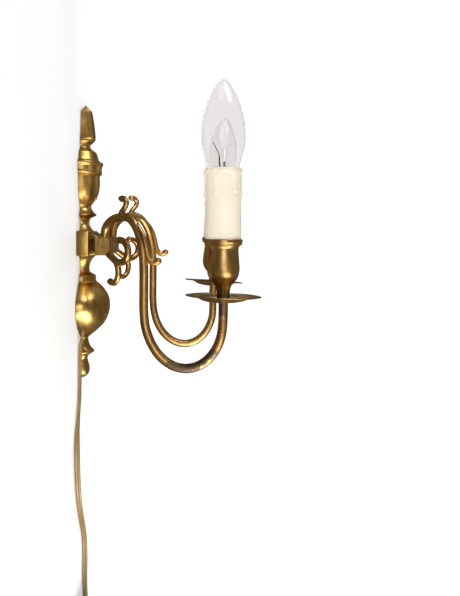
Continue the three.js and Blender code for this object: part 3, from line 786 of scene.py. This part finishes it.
def make_arm(side):
    path = smooth(along(side, arm_route(side)), 1.2)
    arm_piece("arm", "tube", side, [sweep(path, circle(3.8, 28))])

    strap = [(25.8, -5.8), (30, -9.2), (34.6, -13.2), *arc(40.3, -6.2, 7.9, 9.6, 250, 470, 9)]
    tail = [(36.4, -14.2), (38.8, -21), (38.6, -28), (35.6, -33.2), (31.6, -33.2), (30, -30.2)]
    arm_piece("scroll", "cast", side, [
        bar(along(side, strap), 2.9, thick=lambda t: 1.12 - 0.1 * t + (0.1 if t > 0.93 else 0)),
        bar(along(side, tail), 2.6, thick=lambda t: 1.12 - 0.14 * t + 0.2 * max(0, t - 0.7) / 0.3),
    ])

    size, arch = side["leaf"], side["arch"]
    top_leaf = [(-2.6, -2.2), (-0.7, 4.2), (2.6, 9), (3.3, 12.2), (1.4, 15.1), (-1.7, 15.3),
                (-2.6, 14.2)]
    top_points = [(43.2 + out * size, arch + z * size) for out, z in top_leaf]
    arm_piece("top_leaf", "cast", side, [
        bar(along(side, top_points), 2.4,
            thick=lambda t: 1.3 - 0.28 * min(1, t / 0.4) + 0.24 * max(0, t - 0.5) / 0.5),
    ])

    above = arch - SIDES[0]["arch"]
    shoulder = [(51.0, 20.8), (56.4, 15.8), (60.4, 9.7), (63.2, 2.7)]
    side_leaf = [(1.6, -2.5), (3.0, -8.2), (5.4, -11.8), (8.6, -12.6), (10.9, -11.2), (11.7, -8.6)]
    side_points = [(out, z + above) for out, z in shoulder]
    side_points += [(63.1 + out * size, -2 + above + z * size) for out, z in side_leaf]
    arm_piece("side_leaf", "cast", side, [
        bar(along(side, side_points), 2.35, blunt_start=True,
            thick=lambda t: 0.9 + 0.18 * min(1, t / 0.6) + 0.2 * max(0, t - 0.8) / 0.2),
    ])


# ---------------------------------------------------------------- candles

JOINTS = {joint["name"]: joint for joint in frame["joints"]}
JOINT_HEIGHT = 0.03
TURN = 2 * math.pi


def stand_matrix(name):
    """Places a candle's pieces, which are drawn upright round Z, on the axis of its joint."""
    joint = JOINTS[f"sleeve_{name}_turn"]
    axis = Vector(joint["axis"])
    lean = Matrix.Rotation(math.atan2(-axis.y, axis.z), 4, "X")
    return Matrix.Translation(joint["pos_m"]) @ lean @ Matrix.Translation((0, 0, -JOINT_HEIGHT))


def between(angle, other):
    """The angle between two directions, whichever way round is shorter."""
    return min((angle - other) % TURN, (other - angle) % TURN)


def drip_edge(angle, drips, radius, top):
    """Height of the wax layer's lower edge at an angle, for drips of (angle, end height)."""
    nearest = sorted((between(angle, a), end) for a, end in drips)
    (d0, end0), (d1, _) = nearest[0], nearest[1]
    half = 1.7
    s0 = d0 * radius
    if s0 < half:
        return end0 - 0.5 * math.sqrt(max(0, 1 - (s0 / half) ** 2)) * half
    span = (d0 + d1) * radius / 2 - half
    u = min(1, (s0 - half) / max(span, 0.1))
    return end0 + (top - end0) * (1 - (1 - u) ** 2.6) ** 0.42


# Where each drip runs, in degrees round the candle, and the height at which it ends.
DRIPS = {
    "left": [(92, 38.4), (154, 39.8), (217, 41.2), (273, 38.6), (330, 41.5), (28, 37)],
    "right": [(20, 40.2), (78, 38.2), (140, 41), (196, 38.9), (255, 40.6), (313, 37.8)],
}


def make_sleeve(side, matrix):
    """The ivory sleeve, with a layer of moulded wax that ends in drips."""
    name = side["name"]
    drips = [(math.radians(a), end) for a, end in DRIPS[name]]
    radius, bottom, wax_top = 14.3, 1.5, 57.2
    layer, edge_width, ridge, ridge_width, bead = 1.0, 0.9, 0.42, 0.7, 0.55
    segments, probe = 200, 0.03
    angles = [TURN * i / segments for i in range(segments)]
    rows = []
    for z in [bottom, 1.7, 2.2, 12, 24, 34, 35.5, *(36 + 0.42 * i for i in range(57))]:
        row = []
        for angle in angles:
            edge = drip_edge(angle, drips, radius, wax_top)
            slope = (drip_edge(angle + probe, drips, radius, wax_top) - edge) / (probe * radius)
            depth = (z - edge) / math.sqrt(1 + slope * slope)
            thick = layer * ease(depth / edge_width)
            if depth > -0.5:
                thick += ridge * math.exp(-((depth - edge_width) / ridge_width) ** 2)
            for a, end in drips:
                away = between(angle, a) * radius
                thick += bead * math.exp(-(away ** 2 + (z - end - 1.3) ** 2) / 1.9)
            r = radius + thick
            if z > 58.6:
                r -= 0.25 * ((z - 58.6) / (59.52 - 58.6)) ** 2
            if z < 2.2:
                r -= 0.3 * (2.2 - z) / 0.7
            row.append((r * math.cos(angle), r * math.sin(angle), z))
        rows.append(row)
    rim_and_bore = [(14.75, 60.1), (14.5, 60.55), (14.1, 60.8), (13.7, 60.75), (13.4, 60.2),
                    (13.05, 57), (13, 54), (13, 2), (13.2, bottom)]
    rows += [[(r * math.cos(a), r * math.sin(a), z) for a in angles] for r, z in rim_and_bore]
    vertices = [v for row in rows for v in row]
    faces = []
    for j in range(len(rows)):
        here, above = j * segments, (j + 1) % len(rows) * segments
        for i in range(segments):
            k = (i + 1) % segments
            faces.append([here + i, here + k, above + k, above + i])
    piece(f"sleeve_waxed_{name}", [(vertices, faces)], ivory, f"sleeve_{name}",
          [f"candle_sleeve_{name}"], matrix, 60)


def make_pan(side, matrix):
    """A thin spun dish, slightly bent, with a rolled rim."""
    name = side["name"]
    seat, rim, radius, flat = -45.6, -41, 30.6, 12
    profile = rounded([
        (4.3, seat), (11.5, seat), (13, seat + 0.1), (17.6, seat + 1.1), (21.6, rim - 1.2),
        (23.2, rim - 0.75), (29.6, rim - 0.5), (30.3, rim - 0.55), (radius, rim - 0.2),
        (30.4, rim + 0.3), (29.8, rim + 0.25), (23.4, rim - 0.05), (21.6, rim - 0.5),
        (17.8, seat + 2.0), (12.6, seat + 1.1), (4.3, seat + 1.1)], 1.2)
    vertices, faces = turned(ring_of(profile), 96)
    dip, roll = (math.tan(math.radians(side[key])) for key in ("dip", "roll"))
    bent = []
    for x, y, z in vertices:
        share = max(0, (math.hypot(x, y) - flat) / (radius - flat))
        ripple = 0.12 * share * math.sin(5 * math.atan2(y, x) + side["sign"])
        bent.append((x, y, z + share * (y * dip + side["sign"] * x * roll) + ripple))
    piece(f"pan_spun_{name}", [(bent, faces)], pan_brass, "sconce",
          [f"drip_pan_{name}"], matrix, 40)


def make_cup(side, matrix):
    """A turned cup on a stem, with a beaded collar round the foot of the sleeve."""
    name = side["name"]
    outside = curve([(5.4, -44.2), (5.15, -41), (5.3, -37.4), (6.0, -34), (7.6, -31.4),
                     (10.0, -28.8), (11.9, -25.6), (12.9, -22), (13.1, -19), (12.9, -15),
                     (12.5, -9), (12.2, -4.8), (12.5, -2.4), (13.4, -0.9)])
    collar = rounded([(13.6, -0.7), (14.9, -0.4), (15.1, 0.5), (14.8, 0.75), (15.1, 1.0),
                      (15.5, 1.6), (15.5, 3.7), (15.2, 4.4), (14.7, 4.4), (14.6, 3.8), (14.6, 1.2),
                      (10.7, 1)], 0.35)
    inside = [(10.7, -20), (9, -24.5), (4.3, -24.5), (4.3, -44.2)]
    piece(f"cup_turned_{name}", [turned(ring_of([*outside, *collar, *inside]), 72)], cup_brass,
          "sconce", [f"candle_cup_{name}"], matrix, 32)


def make_bulb(side, matrix):
    """A clear flame bulb: thin glass, flared stem, support wires and a coiled filament."""
    name = side["name"]
    body = f"bulb_{name}"
    glass = 0.45
    outside = curve([(6, 48.5), (6.1, 52.5), (8.6, 54.8), (11.4, 57.6), (12.9, 61), (13.5, 65),
                     (14.6, 69.4), (15.9, 73.6), (17.0, 78), (17.6, 83), (17.75, 88), (17.5, 93),
                     (16.9, 98.5), (15.7, 104), (14.1, 109.8), (12.2, 115.4), (9.9, 120.8),
                     (7.2, 125.9), (4.4, 130), (2.2, 132.1), (0, 132.7)], 1.4)
    inside = []
    for (r0, z0), (r, z), (r1, z1) in zip(outside, outside[1:], outside[2:]):
        along_glass = Vector((r1 - r0, z1 - z0)).normalized()
        inside.append((max(0.02, r - glass * along_glass.y), z + glass * along_glass.x))
    inside = [(0, outside[-1][1] - glass), *reversed(inside),
              (outside[0][0] - glass, outside[0][1])]
    piece(f"bulb_clear_{name}", [turned(ring_of([*outside, *inside]), 144)], clear_glass[name],
          body, [f"bulb_glass_{name}"], matrix, 60)
    stem = curve([(0, 49), (4.9, 49.2), (4.6, 53), (3.2, 58.5), (2.0, 63.5), (1.6, 69), (1.9, 73),
                  (2.0, 75.6), (1.2, 77), (0, 77.2)], 1.0)
    piece(f"bulb_mount_{name}", [turned(stem, 32)], stem_glass, body,
          [f"bulb_stem_{name}"], matrix, 60)
    sign = side["sign"]
    wires = [
        [(0, 2.6, 60), (0, 3.0, 67.8), (0.2, 3.2, 71.8), (0.6, 5.4, 76.6), (1.2, 8.3, 82.3)],
        [(0, -0.8, 60), (0, -0.9, 64), (0, -1.2, 67.5)],
    ]
    sheaths = [([(0, 2.6, 56), (0, 2.8, 63), (0.1, 3.1, 71)], 0.62),
               ([(0, -0.8, 56), (0, -1, 66.5)], 0.95)]
    parts = [bar([(x * sign, y, z) for x, y, z in wire], 0.33, 0.6, 8) for wire in wires]
    parts += [sweep(smooth(points, 1), circle(radius, 10)) for points, radius in sheaths]
    piece(f"filament_mount_{name}", parts, lead_wire, body, [f"filament_{name}"],
          matrix, 60)
    loop = [(0.4, 2.3, 79.2), (0.8, 4.4, 85.4), (0.8, 3.9, 93.4), (0.4, 0.3, 98.6), (0, -3.8, 97.4),
            (-0.4, -6.6, 91), (-0.6, -7, 83), (-0.4, -5.4, 77.5)]
    spine = smooth([(x * sign, y, z) for x, y, z in loop], 0.35)
    winding, pitch = 0.3, 1.6
    coil = [p + winding * Vector((math.cos(i * pitch), 0, math.sin(i * pitch)))
            for i, p in enumerate(spine)]
    piece(f"filament_coil_{name}", [sweep(coil, circle(0.1, 5))], tungsten, body,
          [f"filament_{name}"], matrix, 60)


for side in SIDES:
    place = stand_matrix(side["name"])
    make_arm(side)
    make_pan(side, place)
    make_cup(side, place)
    make_sleeve(side, place)
    make_bulb(side, place)

# ---------------------------------------------------------------- CAD nodes that stay

KEPT = {
    "hanger_strap": steel, "hanger_screw": steel, "terminal_block": terminal_plastic,
    "terminal_screw": nickel, "hub_bolt": steel, "arm_wire": wire_plastic, "nipple": steel,
    "cup_nut": steel, "lampholder": dark_plastic, "screw_shell": nickel, "centre_contact": nickel,
    "bulb_contact": dark_plastic, "bulb_cap": nickel,
}
for name, node in frame["nodes"].items():
    for start, material in KEPT.items():
        if name.startswith(start):
            node.data.materials.clear()
            node.data.materials.append(material)
            node.data.shade_smooth()
            node.data.set_sharp_from_angle(angle=math.radians(38))

# ---------------------------------------------------------------- stage and light


# The wall is dim round the backplate and glows fully away from it, so it fades to white. The room's
# planes only glow. Distances are in metres.
WALL_Y = 0.0006
DIM, FULL = 0.17, 1.04
FADES = ((-0.05, 0.45), (-0.8, -1.3))
LEFT, RIGHT, FRONT, BOTTOM, TOP, FLOOR, BEHIND = -4, 1.2, -5, -3, 4, -1.2, 0.1
ROOM = {
    "floor": [(LEFT, WALL_Y, FLOOR), (RIGHT, WALL_Y, FLOOR), (RIGHT, FRONT, FLOOR),
              (LEFT, FRONT, FLOOR)],
    "ceiling": [(LEFT, WALL_Y, TOP), (RIGHT, WALL_Y, TOP), (RIGHT, FRONT, TOP), (LEFT, FRONT, TOP)],
    "side_right": [(RIGHT, BEHIND, BOTTOM), (RIGHT, FRONT, BOTTOM), (RIGHT, FRONT, TOP),
                   (RIGHT, BEHIND, TOP)],
    "side_left": [(LEFT, BEHIND, BOTTOM), (LEFT, FRONT, BOTTOM), (LEFT, FRONT, TOP),
                  (LEFT, BEHIND, TOP)],
    "room_front": [(LEFT, FRONT, BOTTOM), (RIGHT, FRONT, BOTTOM), (RIGHT, FRONT, TOP),
                   (LEFT, FRONT, TOP)],
}


def paper(n, color, glow):
    """A matte surface that glows by itself; glow is a number or a socket."""
    return n.shade(Base_Color=(*color, 1), Roughness=0.9, Specular_IOR_Level=0.1,
                   Emission_Color=(1, 1, 1, 1), Emission_Strength=glow)


def wall_paper():
    n = Nodes("wall")
    across = n.new("ShaderNodeSeparateXYZ", {"Vector": n.place}).outputs["X"]
    fades = [n.map_range(across, dim_at, full_at, DIM, FULL) for dim_at, full_at in FADES]
    return paper(n, (0.82, 0.85, 0.89), n.arithmetic("MAXIMUM", *fades))


def stage_plane(name, corners, material, shadowed):
    mesh = bpy.data.meshes.new(name)
    mesh.from_pydata(corners, [], [[0, 1, 2, 3]])
    mesh.materials.append(material)
    obj = bpy.data.objects.new(name, mesh)
    scene.collection.objects.link(obj)
    obj.visible_glossy = False
    obj.visible_diffuse = obj.visible_shadow = shadowed


stage_plane("wall", [(-3, WALL_Y, -3), (3, WALL_Y, -3), (3, WALL_Y, 4), (-3, WALL_Y, 4)],
            wall_paper(), True)
for name, corners in ROOM.items():
    stage_plane(name, corners, paper(Nodes(name), (0, 0, 0), FULL), False)


def area_light(name, place, target, size, power, color=(1, 1, 1)):
    """A soft round light at a place in metres, turned to its target."""
    data = bpy.data.lights.new(name, "AREA")
    data.shape = "ELLIPSE"
    data.size, data.size_y = size
    data.energy = power
    data.color = color
    obj = bpy.data.objects.new(name, data)
    obj.location = place
    direction = Vector(target) - Vector(place)
    obj.rotation_euler = direction.to_track_quat("-Z", "Y").to_euler()
    scene.collection.objects.link(obj)
    return obj


WARM, WARMISH = (1.0, 0.97, 0.90), (1.0, 0.97, 0.92)
area_light("low_key", (-0.62, -0.34, -0.74), (0, -0.06, 0), (0.95, 0.9), 9.5, WARM)
area_light("under_key", (-0.22, -0.52, -0.95), (0, -0.1, 0), (0.4, 0.4), 2.6, WARM)
area_light("camera_side", (-1.4, -0.22, 0.15), (0, -0.06, 0), (0.65, 1.2), 4.0, WARMISH)
area_light("top", (-0.32, -0.62, 1.2), (0, -0.05, 0), (0.9, 0.9), 9)
# Lights for the wall and the candles, which the brass doesn't mirror.
for name, place, size, power in (("wall_light", (0.3, -3.0, 0.4), 3.0, 15),
                                 ("fill", (-2.0, -1.0, 0.3), 2.0, 2.2),
                                 ("graze", (2.2, -1.1, 0.3), 1.2, 18)):
    area_light(name, place, (0, 0, 0), (size, size), power).visible_glossy = False

world = bpy.data.worlds.new("world")
scene.world = world
world.use_nodes = True
background = world.node_tree.nodes["Background"]
background.inputs["Color"].default_value = (1.0, 0.84, 0.62, 1)
background.inputs["Strength"].default_value = 0.14
scene.view_settings.view_transform = "Standard"
